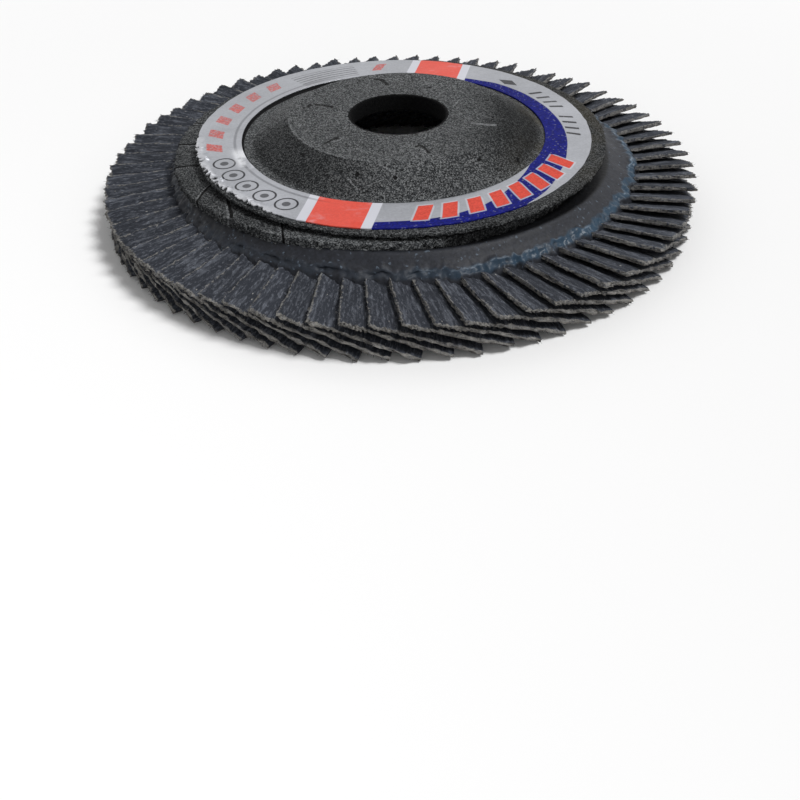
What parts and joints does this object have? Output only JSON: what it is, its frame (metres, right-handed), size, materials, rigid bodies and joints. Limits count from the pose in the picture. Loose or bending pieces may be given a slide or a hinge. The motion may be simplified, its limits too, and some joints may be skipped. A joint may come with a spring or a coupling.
{
  "type": "flap disc",
  "caption": "Abrasive flap disc for a small angle grinder: a round resin backing plate with a raised hub and plain bore, carrying a fan of overlapping coated cloth flaps.",
  "frame": {"origin": "on the bore axis, in the plane of the flaps' lower edges (the working face the disc lies on)", "axes": "+Z along the bore axis from the working face towards the hub and the grinder; +X and +Y lie in the working face"},
  "size_m": [0.1, 0.1, 0.0146],
  "materials": {
    "resin": "rough granular moulded resin",
    "foil_label": "printed silver foil label",
    "adhesive": "cured dark blue adhesive",
    "abrasive_cloth": "black coated abrasive cloth"
  },
  "bodies": {
    "root": {"backing_plate": "resin", "label_ring": "foil_label", "adhesive_ring": "adhesive", "flaps_01": "abrasive_cloth", "flaps_02": "abrasive_cloth", "flaps_03": "abrasive_cloth", "flaps_04": "abrasive_cloth", "flaps_05": "abrasive_cloth", "flaps_06": "abrasive_cloth", "flaps_07": "abrasive_cloth", "flaps_08": "abrasive_cloth", "flaps_09": "abrasive_cloth", "flaps_10": "abrasive_cloth", "flaps_11": "abrasive_cloth", "flaps_12": "abrasive_cloth", "flaps_13": "abrasive_cloth", "flaps_14": "abrasive_cloth", "flaps_15": "abrasive_cloth", "flaps_16": "abrasive_cloth", "flaps_17": "abrasive_cloth", "flaps_18": "abrasive_cloth", "flaps_19": "abrasive_cloth", "flaps_20": "abrasive_cloth", "flaps_21": "abrasive_cloth", "flaps_22": "abrasive_cloth", "flaps_23": "abrasive_cloth", "flaps_24": "abrasive_cloth", "flaps_25": "abrasive_cloth", "flaps_26": "abrasive_cloth", "flaps_27": "abrasive_cloth", "flaps_28": "abrasive_cloth", "flaps_29": "abrasive_cloth", "flaps_30": "abrasive_cloth", "flaps_31": "abrasive_cloth", "flaps_32": "abrasive_cloth", "flaps_33": "abrasive_cloth", "flaps_34": "abrasive_cloth", "flaps_35": "abrasive_cloth", "flaps_36": "abrasive_cloth"}
  },
  "joints": []
}
